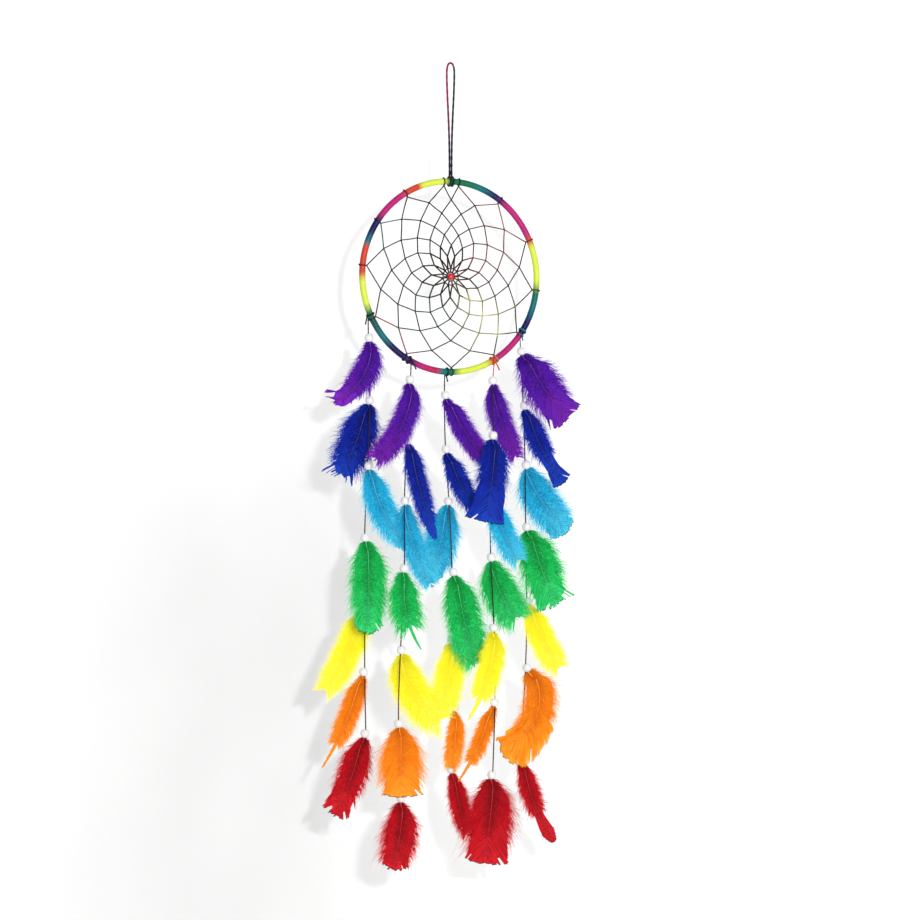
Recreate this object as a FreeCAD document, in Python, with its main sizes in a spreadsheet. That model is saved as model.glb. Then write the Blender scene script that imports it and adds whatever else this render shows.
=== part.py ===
import FreeCAD, Part
import math
import os

import Sketcher
from FreeCAD import Placement, Rotation, Vector

# A dream catcher: a wrapped metal hoop with a knotted net in it, hung from a doubled cord by a
# lark's-head knot. Five cords are tied round the lower half of the hoop, and each carries seven
# beads with the quill of one feather jammed in every bead.
#
# Millimetres. The origin is where a hook bears, inside the top of the hanging loop. The hoop lies
# in the XZ plane, +Z is up and the front faces -Y. An angle on the hoop is counted in degrees
# clockwise from its top, seen from the front.

SIZES = {
    "hoop_diameter": 200.0,  # over the wrapping
    "wire_diameter": 3.0,
    "wrap_thickness": 1.8,
    "hoop_drop": 215.9,  # from the origin down to the middle of the hoop
    "net_thread": 1.3,
    "centre_bead_diameter": 7.0,
    "centre_bead_bore": 1.7,
    "hanger_diameter": 2.0,
    "hanger_half_gap": 4.4,  # from the middle plane to either leg, beside the hook
    "knot_clearance": 0.3,  # between the lark's head and the hoop, which tilts in it
    "strand_diameter": 1.2,
    "hitch_clearance": 0.1,
    "hitch_ball_diameter": 3.4,
    "hitch_tail_length": 9.0,
    "bead_diameter": 9.2,
    "bead_bore": 4.0,
    "quill_diameter": 1.3,
    "vane_thickness": 1.0,
}

BEAD_CAP_ANGLE = 60.0  # latitude at which a bead's ball is cut flat
PIVOT_GAP = 0.4  # between a hitch and the top of its cord
LARK_TURN_AT = 1.6  # from the middle plane to each turn of the lark's head
LARK_BIGHT_HALF = 2.3  # half the length of the bight that crosses the two turns
LARK_BIGHT_RISE = 1.0  # the bight's height above the middle of the turns
HITCH_TURN_AT = 0.65  # from a hitch's middle to each of its two turns
TAIL_OUT, TAIL_OFF = 0.7, 0.35  # a cut end's lean sideways and off the hoop's plane, for 1 down
BULGE = 0.1  # difference between the radii of round pieces that meet, so they join cleanly
CORD_END = 11.0  # how far a strand's cord goes on below its last bead's middle
FRONT, BACK = -1, 1

doc = FreeCAD.newDocument("dream_catcher")


def make_sheet():
    """The driving dimensions, each in a cell with an alias."""
    made = doc.addObject("Spreadsheet::Sheet", "Sizes")
    for row, (name, value) in enumerate(SIZES.items(), 1):
        made.set(f"A{row}", name)
        made.set(f"B{row}", str(value))
        made.setAlias(f"B{row}", name)
    return made


make_sheet()
doc.recompute()

TUBE_RADIUS = SIZES["wire_diameter"] / 2 + SIZES["wrap_thickness"]
RING_RADIUS = SIZES["hoop_diameter"] / 2 - TUBE_RADIUS
HOOP_CENTRE = Vector(0, 0, -SIZES["hoop_drop"])
HOOP_TOP = HOOP_CENTRE + Vector(0, 0, RING_RADIUS)


# ---- geometry helpers ----


def on_hoop(angle, radius=RING_RADIUS):
    """The point of the hoop's plane at this angle and radius, from the hoop's centre."""
    turn = math.radians(angle)
    return Vector(radius * math.sin(turn), 0, radius * math.cos(turn))


def across_hoop(angle, along=0.0):
    """The placement of a ring threaded on the hoop, its axis along the hoop, shifted along it."""
    turn = math.radians(angle)
    tangent = Vector(math.cos(turn), 0, -math.sin(turn))
    return Placement(on_hoop(angle) + tangent * along, Rotation(Vector(0, 0, 1), tangent))


def bind(thing, **formulas):
    for prop, formula in formulas.items():
        thing.setExpression(prop, formula)
    return thing


def primitive(kind, name, placement=Placement(), **formulas):
    thing = doc.addObject(kind, name)
    thing.Placement = placement
    return bind(thing, **formulas)


def fuse(name, pieces, placement=Placement()):
    whole = doc.addObject("Part::MultiFuse", name)
    whole.Shapes = pieces
    whole.Placement = placement
    return whole


def cut(name, base, tool, placement=Placement()):
    piece = doc.addObject("Part::Cut", name)
    piece.Base = base
    piece.Tool = tool
    piece.Placement = placement
    return piece


def origin_plane(body, role):
    return next(f for f in body.Origin.OriginFeatures if f.Role == role)


def rounded(before, corner, after):
    """The start, middle, end and radius of the largest arc that the runs beside a corner allow."""
    back, ahead = before - corner, after - corner
    turn = math.pi - back.getAngle(ahead)
    reach = 0.45 * min(back.Length, ahead.Length)
    radius = reach / math.tan(turn / 2)
    back.normalize()
    ahead.normalize()
    inward = back + ahead
    inward.normalize()
    middle = corner + inward * (radius / math.cos(turn / 2) - radius)
    return corner + back * reach, middle, corner + ahead * reach, radius


def tangent_path(points):
    """Straight runs joined by arcs as large as the runs beside them allow, and the arcs' radii."""
    edges, radii = [], []
    start = points[0]
    for corner in zip(points, points[1:], points[2:]):
        arc_start, arc_middle, arc_end, radius = rounded(*corner)
        edges.append(Part.LineSegment(start, arc_start).toShape())
        edges.append(Part.Arc(arc_start, arc_middle, arc_end).toShape())
        start = arc_end
        radii.append(radius)
    edges.append(Part.LineSegment(start, points[-1]).toShape())
    return Part.Wire(edges), radii


def corners_through(places):
    """Corners a little further out than the places, so that the arcs pass through the places."""
    corners = list(places)
    for _ in range(6):
        middles = [rounded(*corner)[1] for corner in zip(corners, corners[1:], corners[2:])]
        for index, middle in enumerate(middles, 1):
            corners[index] = corners[index] + places[index] - middle
    return corners


def cord(name, points, diameter_name, placement=Placement()):
    """A round cord along a hand-laid route: a circle swept along straight runs and tangent arcs."""
    route = doc.addObject("Part::Feature", f"{name}_route")
    route.Shape, radii = tangent_path(points)
    heading = points[1] - points[0]
    section = primitive(
        "Part::Circle",
        f"{name}_section",
        Placement(points[0], Rotation(Vector(0, 0, 1), heading)),
        Radius=f"Sizes.{diameter_name} / 2",
    )
    tube = doc.addObject("Part::Sweep", name)
    tube.Sections = [section]
    tube.Spine = (route, [f"Edge{n + 1}" for n in range(len(route.Shape.Edges))])
    tube.Solid = True
    tube.Frenet = False
    tube.Placement = placement
    doc.recompute()
    length = route.Shape.Length
    expected = math.pi * SIZES[diameter_name] ** 2 / 4 * length
    print(
        f"{name}: {length:.1f} mm, least radius {min(radii):.1f} mm,"
        f" volume {tube.Shape.Volume:.1f} for {expected:.1f} mm3"
    )
    return tube


# ---- the hoop ----


def ring_sketch(body, name, radii):
    """Circles of the given formulas on the XY plane, centred on the ring's own tube."""
    sketch = body.newObject("Sketcher::SketchObject", name)
    sketch.AttachmentSupport = [(origin_plane(body, "XY_Plane"), "")]
    sketch.MapMode = "FlatFace"
    for index, formula in enumerate(radii):
        sketch.addGeometry(Part.Circle(Vector(RING_RADIUS, 0, 0), Vector(0, 0, 1), 1 + index))
        sketch.addConstraint(Sketcher.Constraint("PointOnObject", index, 3, -1))
        to_middle = sketch.addConstraint(Sketcher.Constraint("DistanceX", index, 3, RING_RADIUS))
        sketch.setExpression(
            f"Constraints[{to_middle}]",
            "Sizes.hoop_diameter / 2 - Sizes.wire_diameter / 2 - Sizes.wrap_thickness",
        )
        size = sketch.addConstraint(Sketcher.Constraint("Radius", index, 1.0 + index))
        sketch.setExpression(f"Constraints[{size}]", formula)
    return sketch


def ring(name, radii):
    """A ring about the Y axis whose section is the given circles."""
    body = doc.addObject("PartDesign::Body", name)
    sketch = ring_sketch(body, f"{name}_section", radii)
    turned = body.newObject("PartDesign::Revolution", f"{name}_turned")
    turned.Profile = sketch
    turned.ReferenceAxis = (sketch, ["V_Axis"])
    turned.Angle = 360
    body.Placement = Placement(HOOP_CENTRE, Rotation())
    return body


def hoop_core():
    return ring("hoop_core", ["Sizes.wire_diameter / 2"])


def hoop_wrap():
    """The cord wound round the wire, as one sleeve."""
    return ring(
        "hoop_wrap",
        ["Sizes.wire_diameter / 2 + Sizes.wrap_thickness", "Sizes.wire_diameter / 2"],
    )


# ---- the net ----

# Where its thread is hitched on the hoop, and how far from the centre each round of knots is.
NET_HITCHES = [-117, -84.5, -56, -31, -4.5, 5.5, 35, 66, 97, 126.5, 148.5, 179.5, 211.5]
NET_REACH = RING_RADIUS - TUBE_RADIUS - 1.0
NET_ROUNDS = [NET_REACH, 78, 65, 53, 43, 32, 21, 8.5]


def net_knots():
    """Each round's knots: every one hangs from the middle of a thread of the round outside it."""
    angles = list(NET_HITCHES)
    rounds = []
    for radius in NET_ROUNDS:
        rounds.append([on_hoop(angle, radius) for angle in angles])
        angles = [(a + b) / 2 for a, b in zip(angles, angles[1:] + [angles[0] + 360])]
    return rounds


def moved_in(corners, distance):
    """A clockwise polygon with every side moved inwards, or outwards for a negative distance."""
    lines = []
    for a, b in zip(corners, corners[1:] + corners[:1]):
        along = b - a
        along.normalize()
        inward = Vector(along.z, 0, -along.x)
        lines.append((a + inward * distance, along))
    moved = []
    for (p, u), (q, v) in zip(lines[-1:] + lines[:-1], lines):
        gap = q - p
        step = (gap.x * v.z - gap.z * v.x) / (u.x * v.z - u.z * v.x)
        moved.append(p + u * step)
    return moved


def net_outlines():
    """The net's outer edge, then each opening in it, all clockwise."""
    half = SIZES["net_thread"] / 2
    knots = net_knots()
    count = len(NET_HITCHES)
    edge = []
    for i in range(count):
        edge += [knots[0][i], knots[1][i]]
    outlines = [moved_in(edge, -half)]
    for outer, middle, inner in zip(knots, knots[1:], knots[2:]):
        for i in range(count):
            after = (i + 1) % count
            diamond = [middle[i], outer[after], middle[after], inner[i]]
            outlines.append(moved_in(diamond, half))
    outer, middle = knots[-2:]
    for i in range(count):
        after = (i + 1) % count
        outlines.append(moved_in([middle[i], outer[after], middle[after]], half))
    outlines.append(moved_in(middle, half))
    return outlines


def net_web():
    """The knotted thread, as a flat net with a half hitch round the hoop at each outer knot, and
    the thread that the centre bead is on."""
    plan = doc.addObject("Sketcher::SketchObject", "net_plan")
    plan.Placement = Placement(Vector(), Rotation(Vector(1, 0, 0), 90))
    for outline in net_outlines():
        for a, b in zip(outline, outline[1:] + outline[:1]):
            plan.addGeometry(Part.LineSegment(Vector(a.x, a.z, 0), Vector(b.x, b.z, 0)))
    net = doc.addObject("Part::Extrusion", "net_flat")
    net.Base = plan
    net.DirMode = "Normal"
    net.Solid = True
    net.Symmetric = True
    bind(net, LengthFwd="Sizes.net_thread")
    pieces = [net]
    for index, angle in enumerate(NET_HITCHES):
        pieces.append(
            primitive(
                "Part::Torus",
                f"net_hitch_{index + 1}",
                across_hoop(angle),
                Radius1="Sizes.wire_diameter / 2 + Sizes.wrap_thickness"
                " + Sizes.hitch_clearance + Sizes.net_thread / 2",
                Radius2="Sizes.net_thread / 2",
            )
        )
    bar = primitive(
        "Part::Cylinder",
        "net_centre_thread",
        Placement(Vector(-NET_ROUNDS[-1], 0, 0), Rotation(Vector(0, 1, 0), 90)),
        Radius="Sizes.net_thread / 2",
    )
    bar.Height = 2 * NET_ROUNDS[-1]
    return fuse("web", pieces + [bar], Placement(HOOP_CENTRE, Rotation()))


def bead(name, placement, diameter_name, bore_name):
    """A ball with flat ends and a bore, along the placement's Z."""
    ball = primitive(
        "Part::Sphere", f"{name}_ball", placement, Radius=f"Sizes.{diameter_name} / 2"
    )
    ball.Angle1 = -BEAD_CAP_ANGLE
    ball.Angle2 = BEAD_CAP_ANGLE
    below = placement.multiply(Placement(Vector(0, 0, -SIZES[diameter_name] / 2), Rotation()))
    bore = primitive(
        "Part::Cylinder",
        f"{name}_bore",
        below,
        Radius=f"Sizes.{bore_name} / 2",
        Height=f"Sizes.{diameter_name}",
    )
    return cut(name, ball, bore)


def centre_bead():
    sideways = Placement(Vector(), Rotation(Vector(0, 1, 0), 90))
    piece = bead("centre_bead", sideways, "centre_bead_diameter", "centre_bead_bore")
    piece.Placement = Placement(HOOP_CENTRE, Rotation())
    return piece


# ---- the hanging loop and its knot ----

KNOT_RING_RADIUS = TUBE_RADIUS + SIZES["knot_clearance"] + SIZES["hanger_diameter"] / 2
KNOT_TOP = HOOP_TOP.z + KNOT_RING_RADIUS + SIZES["hanger_diameter"] / 2


# Where a leg of the hanging loop passes on its way up from the knot: X, then Z.
LEG_PLACES = [(1.15, -88), (2.1, -58), (4.0, -24)]
LEG_FOOT_AT = 1.15  # from the middle plane to a leg where it leaves the knot


def hanger_cord():
    """Two legs up from the knot, over the hook and back: they part below the hook."""
    foot = Vector(LEG_FOOT_AT, 0, KNOT_TOP + PIVOT_GAP)
    crest = Vector(SIZES["hanger_half_gap"], 0, SIZES["hanger_diameter"] / 2)
    leg = [foot] + [Vector(x, 0, z) for x, z in LEG_PLACES] + [crest]
    other = [Vector(-p.x, p.y, p.z) for p in reversed(leg)]
    return cord("hanger_cord", leg + other, "hanger_diameter")


def hanger_knot():
    """The lark's head: two turns round the hoop, with the bight across them in front."""
    rings = [
        primitive(
            "Part::Torus",
            f"lark_turn_{name}",
            Placement(Vector(x, 0, 0), Rotation(Vector(0, 1, 0), 90)),
            Radius1="Sizes.wire_diameter / 2 + Sizes.wrap_thickness"
            " + Sizes.knot_clearance + Sizes.hanger_diameter / 2",
            Radius2="Sizes.hanger_diameter / 2",
        )
        for name, x in (("left", -LARK_TURN_AT), ("right", LARK_TURN_AT))
    ]
    bight = primitive(
        "Part::Cylinder",
        "lark_bight",
        Placement(
            Vector(-LARK_BIGHT_HALF, -KNOT_RING_RADIUS, LARK_BIGHT_RISE),
            Rotation(Vector(0, 1, 0), 90),
        ),
        Radius=f"Sizes.hanger_diameter / 2 + {BULGE}",
    )
    bight.Height = 2 * LARK_BIGHT_HALF
    return fuse("hanger_knot", rings + [bight], Placement(HOOP_TOP, Rotation()))


# ---- the five strands ----

# Three layers for the vanes on a strand, from its cord towards the viewer: clear of the beads in
# front of them, further in front, or behind them. Consecutive feathers that cross take different
# layers. The front strands, 2 and 4, and the back ones, 1, 3 and 5, keep to their own side of the
# hoop's plane, so they swing away from each other.
OVER, FAR, UNDER = -5.5, -7.0, 5.5
STRAND_Y = {FRONT: -6.5, BACK: 8.0}
HITCH_Y = 5.6
QUILL_BESIDE = 0.85  # from a bead's axis to the quill in its bore, on the side it leaves to
CORD_BESIDE = 1.0  # and to the cord, on the other side

FEATHER_COLOURS = ["violet", "blue", "cyan", "green", "yellow", "orange", "red"]

# For each strand: its angle on the hoop, its side, its tail's side, the X and Z of its beads, and
# for each bead's feather: lean of its tip from straight down (towards +X), bend along its length
# (positive curves towards +X), length from the bead's middle, width, width at the tip, layer.
STRANDS = [
    {
        "angle": -114.5,
        "side": BACK,
        "tail": -1,
        "beads": [
            (-86, -279), (-85.5, -342), (-86.5, -408), (-90.5, -480),
            (-91.5, -549), (-92, -615), (-90.5, -677),
        ],
        "feathers": [
            (-36, -84, 90, 33, 26, OVER),
            (-22, -22, 88, 46, 32, UNDER),
            (27, 42, 97, 34, 16, OVER),
            (-1, -12, 98, 44, 32, OVER),
            (-26, -30, 98, 34, 16, UNDER),
            (-24, -22, 107, 25, 4, UNDER),
            (-20, -18, 89, 37, 35, UNDER),
        ],
    },
    {
        "angle": -151.6,
        "side": FRONT,
        "tail": 1,
        "beads": [
            (-47.5, -321), (-50, -382), (-53, -443), (-54, -511),
            (-57, -593), (-60, -667), (-57, -742),
        ],
        "feathers": [
            (-28, -54, 98, 30, 6, FAR),
            (15, 12, 105, 24, 10, OVER),
            (21, 24, 96, 28, 14, UNDER),
            (11, 46, 86, 38, 4, OVER),
            (33, 52, 95, 42, 10, UNDER),
            (-1, -6, 74, 54, 47, OVER),
            (-10, -14, 73, 44, 34, OVER),
        ],
    },
    {
        "angle": -177.6,
        "side": BACK,
        "tail": 1,
        "beads": [
            (-2.5, -336), (-1.5, -391), (1, -444), (6.5, -516),
            (4.5, -585), (8.5, -654), (4.5, -717),
        ],
        "feathers": [
            (37, 32, 102, 26, 10, OVER),
            (26, 24, 68, 26, 14, OVER),
            (-13, -20, 84, 42, 30, UNDER),
            (13, 10, 100, 44, 22, FAR),
            (-12, -18, 74, 37, 20, OVER),
            (-8, -14, 63, 23, 11, OVER),
            (13, 12, 70, 25, 8, OVER),
        ],
    },
    {
        "angle": 151.3,
        "side": FRONT,
        "tail": 1,
        "beads": [
            (44, -321), (44.5, -377), (42, -440), (42.5, -501),
            (45, -573), (46, -649), (43, -723),
        ],
        "feathers": [
            (22, 22, 88, 29, 14, UNDER),
            (-8, -10, 90, 50, 50, FAR),
            (24, 24, 74, 30, 14, OVER),
            (27, 30, 74, 45, 24, UNDER),
            (-19, -34, 100, 31, 6, OVER),
            (-25, -26, 91, 21, 4, UNDER),
            (-8, -8, 91, 60, 54, OVER),
        ],
    },
    {
        "angle": 123.6,
        "side": BACK,
        "tail": 1,
        "beads": [
            (83, -290), (86.5, -346), (88.5, -407), (89, -471),
            (90.5, -548), (89.5, -616), (82.5, -709),
        ],
        "feathers": [
            (36, 22, 87, 50, 45, FAR),
            (28, 28, 92, 28, 22, OVER),
            (38, 34, 89, 46, 37, UNDER),
            (20, 10, 88, 52, 46, FAR),
            (26, 24, 80, 33, 11, OVER),
            (-24, -128, 108, 44, 46, FAR),
            (22, 28, 95, 26, 15, OVER),
        ],
    },
]


def strand_top(strand):
    """The middle of the strand's hitch, from the origin."""
    return HOOP_CENTRE + on_hoop(strand["angle"]) + Vector(0, strand["side"] * HITCH_Y, 0)


def leaves_to(shape):
    """1 if the feather leaves its bead towards +X, or -1: half its bend is before its chord."""
    lean, bend = shape[:2]
    return 1 if lean > bend / 2 else -1


def strand_hitch(number, strand):
    """Two turns round the hoop, the knot on its front or back, and the cut end."""
    knot = Vector(0, strand["side"] * HITCH_Y, 0) + on_hoop(strand["angle"])
    turns = [
        primitive(
            "Part::Torus",
            f"hitch_{number}_turn_{turn}",
            across_hoop(strand["angle"], along),
            Radius1="Sizes.wire_diameter / 2 + Sizes.wrap_thickness"
            " + Sizes.hitch_clearance + Sizes.strand_diameter / 2",
            Radius2="Sizes.strand_diameter / 2",
        )
        for turn, along in ((1, -HITCH_TURN_AT), (2, HITCH_TURN_AT))
    ]
    ball = primitive(
        "Part::Sphere",
        f"hitch_{number}_ball",
        Placement(knot, Rotation()),
        Radius="Sizes.hitch_ball_diameter / 2",
    )
    down_and_out = Vector(TAIL_OUT * strand["tail"], TAIL_OFF * strand["side"], -1)
    tail = primitive(
        "Part::Cylinder",
        f"hitch_{number}_tail",
        Placement(knot, Rotation(Vector(0, 0, 1), down_and_out)),
        Radius=f"Sizes.strand_diameter / 2 - {BULGE}",
        Height="Sizes.hitch_tail_length",
    )
    return fuse(f"strand_{number}_hitch", turns + [ball, tail], Placement(HOOP_CENTRE, Rotation()))


def bead_places(strand):
    """The beads' middles, from the strand's top."""
    top = strand_top(strand)
    return [Vector(x, STRAND_Y[strand["side"]], z) - top for x, z in strand["beads"]]


def strand_cord(number, strand):
    """Down from the hitch and beside the quill in every bead, to just below the last one."""
    under_ball = -SIZES["hitch_ball_diameter"] / 2 - PIVOT_GAP
    places = [Vector(0, 0, under_ball)]
    for place, shape in zip(bead_places(strand), strand["feathers"]):
        places.append(place - Vector(CORD_BESIDE * leaves_to(shape), 0, 0))
    places.append(places[-1] + Vector(0, 0, -CORD_END))
    return cord(
        f"strand_{number}_cord",
        corners_through(places),
        "strand_diameter",
        Placement(strand_top(strand), Rotation()),
    )


def strand_beads(number, strand):
    """The strand's seven beads: separate balls, which the cord and the quills hold in place."""
    beads = [
        bead(f"bead_{number}_{colour}", Placement(place, Rotation()), "bead_diameter", "bead_bore")
        for colour, place in zip(FEATHER_COLOURS, bead_places(strand))
    ]
    group = doc.addObject("Part::Compound", f"strand_{number}_beads")
    group.Links = beads
    group.Placement = Placement(strand_top(strand), Rotation())
    return group


# ---- the feathers ----

QUILL_TOP = 2.0  # how far above a bead's middle a quill ends
QUILL_KNEE = 5.6  # how far below it the quill turns towards the vane
VANE_START = 12.0  # and where the vane starts
ROOT_WIDTH = 2.0
VANE_PROFILE = [(0.25, 0.36), (0.42, 0.48), (0.72, 0.5)]  # by share of length, half-width by width
VANE_TIP_SHARE = 0.93  # where the edge turns in to the tip


def vane_line(lean, bend, length):
    """Points on the feather's middle line, a circular arc from the bead's middle, by their share
    of its length, and the direction across it there."""
    total = math.radians(bend)
    start = math.radians(lean) - total / 2

    def place(share):
        turned = start + total * share
        radius = length / total
        return radius * (math.cos(start) - math.cos(turned)), radius * (
            math.sin(start) - math.sin(turned)
        )

    def beside(share, offset):
        x, z = place(share)
        turned = start + total * share
        return Vector(x + offset * math.cos(turned), z + offset * math.sin(turned), 0)

    return beside


def vane_outline(lean, bend, length, width, tip_width):
    """A vane's edge: a widening arc, a fuller one, the tip's arc, and the same back again."""
    beside = vane_line(lean, bend, length)
    half_widths = [(VANE_START / length, ROOT_WIDTH / 2)]
    half_widths += [(share, width * part) for share, part in VANE_PROFILE]
    half_widths.append((VANE_TIP_SHARE, tip_width / 2))

    def side(sign):
        return [beside(share, sign * half) for share, half in half_widths]

    right, left = side(1), side(-1)
    tip = beside(1.0, 0)
    return [
        Part.Arc(right[0], right[1], right[2]),
        Part.Arc(right[2], right[3], right[4]),
        Part.Arc(right[4], tip, left[4]),
        Part.Arc(left[4], left[3], left[2]),
        Part.Arc(left[2], left[1], left[0]),
        Part.LineSegment(left[0], right[0]),
    ]


def feather(name, facts, placement):
    """A flat vane and its quill, which bends from the bead's bore to the vane's own layer."""
    lean, bend, length, width, tip_width, layer = facts
    outline = doc.addObject("Sketcher::SketchObject", f"{name}_outline")
    outline.Placement = Placement(Vector(0, layer, 0), Rotation(Vector(1, 0, 0), 90))
    for edge in vane_outline(lean, bend, length, width, tip_width):
        outline.addGeometry(edge)
    vane = doc.addObject("Part::Extrusion", f"{name}_vane")
    vane.Base = outline
    vane.DirMode = "Normal"
    vane.Solid = True
    vane.Symmetric = True
    bind(vane, LengthFwd="Sizes.vane_thickness")

    knee = Vector(QUILL_BESIDE * leaves_to(facts), 0, -QUILL_KNEE)
    start = vane_line(lean, bend, length)((VANE_START + 2) / length, 0)
    root = Vector(start.x, layer, start.y)
    in_bead = primitive(
        "Part::Cylinder",
        f"{name}_quill",
        Placement(knee, Rotation()),
        Radius="Sizes.quill_diameter / 2",
    )
    in_bead.Height = QUILL_KNEE + QUILL_TOP
    bend_ball = primitive(
        "Part::Sphere",
        f"{name}_knee",
        Placement(knee, Rotation()),
        Radius=f"Sizes.quill_diameter / 2 + {BULGE}",
    )
    stem = primitive(
        "Part::Cone",
        f"{name}_stem",
        Placement(knee, Rotation(Vector(0, 0, 1), root - knee)),
        Radius1="Sizes.quill_diameter / 2",
        Radius2="Sizes.vane_thickness / 2",
    )
    stem.Height = (root - knee).Length
    return fuse(name, [vane, in_bead, bend_ball, stem], placement)


def strand(number, facts):
    pieces = [strand_hitch(number, facts), strand_cord(number, facts), strand_beads(number, facts)]
    top = strand_top(facts)
    for colour, place, shape in zip(FEATHER_COLOURS, bead_places(facts), facts["feathers"]):
        name = f"strand_{number}_{colour}_feather"
        pieces.append(feather(name, shape, Placement(top + place, Rotation())))
    return pieces


# ---- the whole ----

subparts = [
    hoop_core(),
    hoop_wrap(),
    net_web(),
    centre_bead(),
    hanger_cord(),
    hanger_knot(),
]
for number, facts in enumerate(STRANDS, 1):
    subparts += strand(number, facts)
doc.recompute()

for thing in doc.Objects:
    if "Invalid" in thing.State or "Error" in thing.State:
        raise RuntimeError(f"{thing.Name} didn't compute: {thing.State}")
for part in subparts:
    if part.Shape.isNull() or not part.Shape.isValid():
        raise RuntimeError(f"{part.Label} has no valid shape")

os.makedirs("parts", exist_ok=True)
for part in subparts:
    part.Shape.exportStep(f"parts/{part.Label}.step")
print(len(subparts), "sub-parts")
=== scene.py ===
"""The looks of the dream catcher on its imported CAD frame: metres, with +Z up and the front to -Y."""

import random
from math import atan2, cos, degrees, pi, radians, sin

import bpy
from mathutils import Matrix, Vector


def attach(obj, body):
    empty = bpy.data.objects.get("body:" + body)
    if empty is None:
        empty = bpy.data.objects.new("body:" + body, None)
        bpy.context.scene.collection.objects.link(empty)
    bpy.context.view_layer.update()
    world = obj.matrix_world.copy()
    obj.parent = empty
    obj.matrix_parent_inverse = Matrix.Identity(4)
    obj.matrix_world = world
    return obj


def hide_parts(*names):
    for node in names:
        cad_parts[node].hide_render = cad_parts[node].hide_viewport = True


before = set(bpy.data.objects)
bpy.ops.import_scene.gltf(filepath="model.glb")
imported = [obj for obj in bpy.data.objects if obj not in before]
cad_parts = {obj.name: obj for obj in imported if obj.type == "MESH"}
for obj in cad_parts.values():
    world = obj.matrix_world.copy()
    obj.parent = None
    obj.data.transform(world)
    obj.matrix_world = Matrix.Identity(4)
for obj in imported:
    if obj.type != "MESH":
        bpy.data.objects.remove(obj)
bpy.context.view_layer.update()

MM = 0.001

# ---- sizes that part.py also has ----

RING_RADIUS = 96.7 * MM
TUBE_RADIUS = 3.3 * MM
HOOP_CENTRE = Vector((0, 0, -215.9 * MM))
HOOP_TOP = HOOP_CENTRE + Vector((0, 0, RING_RADIUS))
HANGER_DIAMETER = 2.0 * MM
STRAND_DIAMETER = 1.2 * MM
THREAD_RADIUS = 0.65 * MM
BEAD_RADIUS = 4.6 * MM
BEAD_HALF_HEIGHT = 3.98 * MM
BEAD_BORE_RADIUS = 2.0 * MM
FRONT, BACK = -1, 1

# From here to the strands' table, in mm.
OVER, FAR, UNDER = -5.5, -7.0, 5.5  # the vanes' layers, as Y from the strand's
STRAND_Y = {FRONT: -6.5, BACK: 8.0}
HITCH_Y = 5.6
QUILL_BESIDE = 0.85
CORD_BESIDE = 1.0
CORD_START = 1.7 + 0.4  # under the hitch's middle
CORD_END = 11.0
VANE_START = 12.0

COLOURS = ["violet", "blue", "cyan", "green", "yellow", "orange", "red"]

# Each strand: its angle on the hoop, its side, its tail's side, its beads' X and Z, and for each
# feather what part.py says (lean, bend, length, width, tip width, layer) and how it is grown.
STRANDS = [
    dict(angle=-114.5, side=BACK, tail=-1, beads=[
        (-86, -279), (-85.5, -342), (-86.5, -408), (-90.5, -480), (-91.5, -549), (-92, -615), (-90.5, -677),
    ], feathers=[
        (-36, -84, 90, 33, 26, OVER, "fingers"),
        (-22, -22, 88, 46, 32, UNDER, "comb"),
        (27, 42, 97, 34, 16, OVER, "strap"),
        (-1, -12, 98, 44, 32, OVER, "fan"),
        (-26, -30, 98, 34, 16, UNDER, "plume"),
        (-24, -22, 107, 25, 4, UNDER, "wisp"),
        (-20, -18, 89, 37, 35, UNDER, "split"),
    ]),
    dict(angle=-151.6, side=FRONT, tail=1, beads=[
        (-47.5, -321), (-50, -382), (-53, -443), (-54, -511), (-57, -593), (-60, -667), (-57, -742),
    ], feathers=[
        (-28, -54, 98, 30, 6, FAR, "plume"),
        (15, 12, 105, 24, 10, OVER, "strap"),
        (21, 24, 96, 28, 14, UNDER, "plume"),
        (11, 46, 86, 38, 4, OVER, "hook"),
        (33, 52, 95, 42, 10, UNDER, "plume"),
        (-1, -6, 74, 54, 47, OVER, "wide"),
        (-10, -14, 73, 44, 34, OVER, "fan"),
    ]),
    dict(angle=-177.6, side=BACK, tail=1, beads=[
        (-2.5, -336), (-1.5, -391), (1, -444), (6.5, -516), (4.5, -585), (8.5, -654), (4.5, -717),
    ], feathers=[
        (37, 32, 102, 26, 10, OVER, "strap"),
        (26, 24, 68, 26, 14, OVER, "plume"),
        (-13, -20, 84, 42, 30, UNDER, "fan"),
        (13, 10, 100, 44, 22, FAR, "plume"),
        (-12, -18, 74, 37, 20, OVER, "plume"),
        (-8, -14, 63, 23, 11, OVER, "plume"),
        (13, 12, 70, 25, 8, OVER, "plume"),
    ]),
    dict(angle=151.3, side=FRONT, tail=1, beads=[
        (44, -321), (44.5, -377), (42, -440), (42.5, -501), (45, -573), (46, -649), (43, -723),
    ], feathers=[
        (22, 22, 88, 29, 14, UNDER, "plume"),
        (-8, -10, 90, 50, 50, FAR, "block"),
        (24, 24, 74, 30, 14, OVER, "plume"),
        (27, 30, 74, 45, 24, UNDER, "plume"),
        (-19, -34, 100, 31, 6, OVER, "wisp"),
        (-25, -26, 91, 21, 4, UNDER, "wisp"),
        (-8, -8, 91, 60, 54, OVER, "wide"),
    ]),
    dict(angle=123.6, side=BACK, tail=1, beads=[
        (83, -290), (86.5, -346), (88.5, -407), (89, -471), (90.5, -548), (89.5, -616), (82.5, -709),
    ], feathers=[
        (36, 22, 87, 50, 45, FAR, "wide"),
        (28, 28, 92, 28, 22, OVER, "paddle"),
        (38, 34, 89, 46, 37, UNDER, "fan"),
        (20, 10, 88, 52, 46, FAR, "split"),
        (26, 24, 80, 33, 11, OVER, "plume"),
        (-24, -128, 108, 44, 46, FAR, "wide"),
        (22, 28, 95, 26, 15, OVER, "club"),
    ]),
]

# ---- meshes ----

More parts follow.
